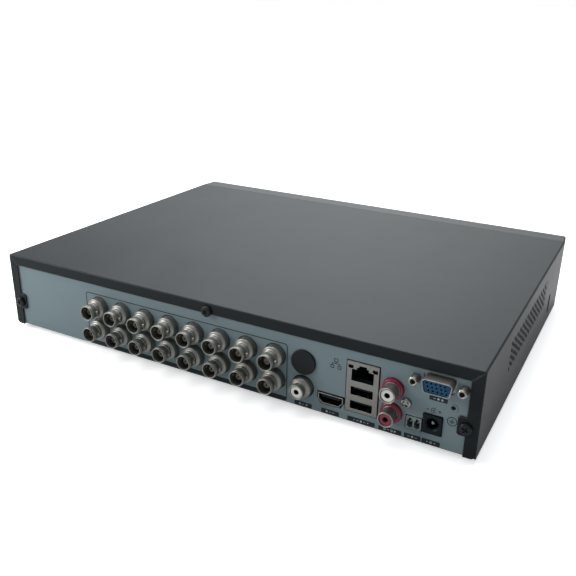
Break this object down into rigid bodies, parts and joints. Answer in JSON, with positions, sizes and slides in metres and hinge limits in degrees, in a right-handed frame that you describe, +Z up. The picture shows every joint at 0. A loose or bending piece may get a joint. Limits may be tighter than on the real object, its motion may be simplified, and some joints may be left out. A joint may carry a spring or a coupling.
{
  "type": "video recorder",
  "caption": "Flat sheet-steel video recorder with bayonet coaxial, audio, network, data, display, terminal and supply sockets on its rear panel.",
  "frame": {"origin": "middle of the whole object in plan, on the surface that it stands on", "axes": "+X along the long side, with the coaxial sockets on the +X half; +Y out of the rear socket panel; +Z up; the front bezel faces -Y"},
  "size_m": [0.322, 0.2546, 0.0533],
  "materials": {
    "cover_paint": "satin",
    "chassis_paint": "satin",
    "black_screw": "satin",
    "bright_screw": "polished",
    "nickel": "satin",
    "tin_can": "brushed",
    "gold_contact": "polished",
    "black_plastic": "matte",
    "bezel_plastic": "fine texture",
    "socket_black": "matte",
    "blue_plastic": "satin",
    "red_plastic": "gloss",
    "white_plastic": "satin",
    "dielectric": "matte",
    "grey_plastic": "matte",
    "smoked_window": "gloss",
    "clear_guide": "clear",
    "led_lens": "gloss",
    "foot_rubber": "matte",
    "green_board": "solder mask",
    "chip_resin": "matte",
    "black_aluminium": "anodised",
    "cast_aluminium": "cast",
    "disc_mirror": "mirror",
    "bright_aluminium": "satin",
    "cell_steel": "polished",
    "brass_post": "satin",
    "ink": "printed",
    "lead_sheath": "satin",
    "lead_sheath_dark": "satin"
  },
  "bodies": {
    "recorder": {"base_chassis": "chassis_paint", "blanking_plug": "black_plastic", "bnc_contacts": "gold_contact", "bnc_housings": "socket_black", "bnc_insulators": "dielectric", "bnc_shells": "nickel", "board_chips": "chip_resin", "board_screws": "bright_screw", "board_sockets": "white_plastic", "board_standoffs": "brass_post", "buzzer": "black_plastic", "capacitors": "bright_aluminium", "coin_cell": "cell_steel", "coin_cell_holder": "black_plastic", "connector_screw": "bright_screw", "cover_screws": "black_screw", "dc_socket_body": "socket_black", "drive_base": "cast_aluminium", "drive_board": "green_board", "drive_data_lead": "lead_sheath", "drive_lid": "bright_aluminium", "drive_power_lead": "lead_sheath_dark", "drive_screws": "bright_screw", "fan_frame": "black_plastic", "front_bezel": "bezel_plastic", "front_board": "green_board", "front_wall": "chassis_paint", "front_window": "smoked_window", "hdmi_shell": "tin_can", "hdmi_tongue": "socket_black", "heat_sink": "black_aluminium", "infrared_receiver": "chip_resin", "light_guides": "clear_guide", "main_board": "green_board", "network_contacts": "gold_contact", "network_usb_insert": "socket_black", "network_usb_shell": "tin_can", "panel_print": "ink", "phono_housings": "socket_black", "phono_insert_red": "red_plastic", "phono_inserts_white": "white_plastic", "phono_rings": "red_plastic", "phono_shells": "nickel", "processor": "chip_resin", "rear_panel": "chassis_paint", "riser_boards": "green_board", "rubber_feet": "foot_rubber", "side_usb_shell": "tin_can", "signal_leads": "lead_sheath_dark", "socket_pins": "nickel", "status_leds": "led_lens", "terminal_body": "grey_plastic", "top_cover": "cover_paint", "usb_tongues": "socket_black", "vga_insert": "blue_plastic", "vga_jack_screws": "nickel", "vga_shell": "nickel"},
    "fan_rotor": {"fan_rotor": "black_plastic"},
    "drive_platters": {"drive_platters": "disc_mirror"},
    "drive_actuator": {"drive_actuator": "bright_aluminium"}
  },
  "joints": [
    {"name": "fan_spin", "type": "hinge", "parent": "recorder", "child": "fan_rotor", "pos_m": [-0.03, 0.04375, 0.029], "axis": [0, 0, 1], "continuous": true},
    {"name": "disc_spin", "type": "hinge", "parent": "recorder", "child": "drive_platters", "pos_m": [-0.0192, -0.05805, 0.0192], "axis": [0, 0, 1], "continuous": true},
    {"name": "head_arm_swing", "type": "hinge", "parent": "recorder", "child": "drive_actuator", "pos_m": [0.0348, -0.08005, 0.0192], "axis": [0, 0, 1], "range_deg": [0, 36]}
  ]
}
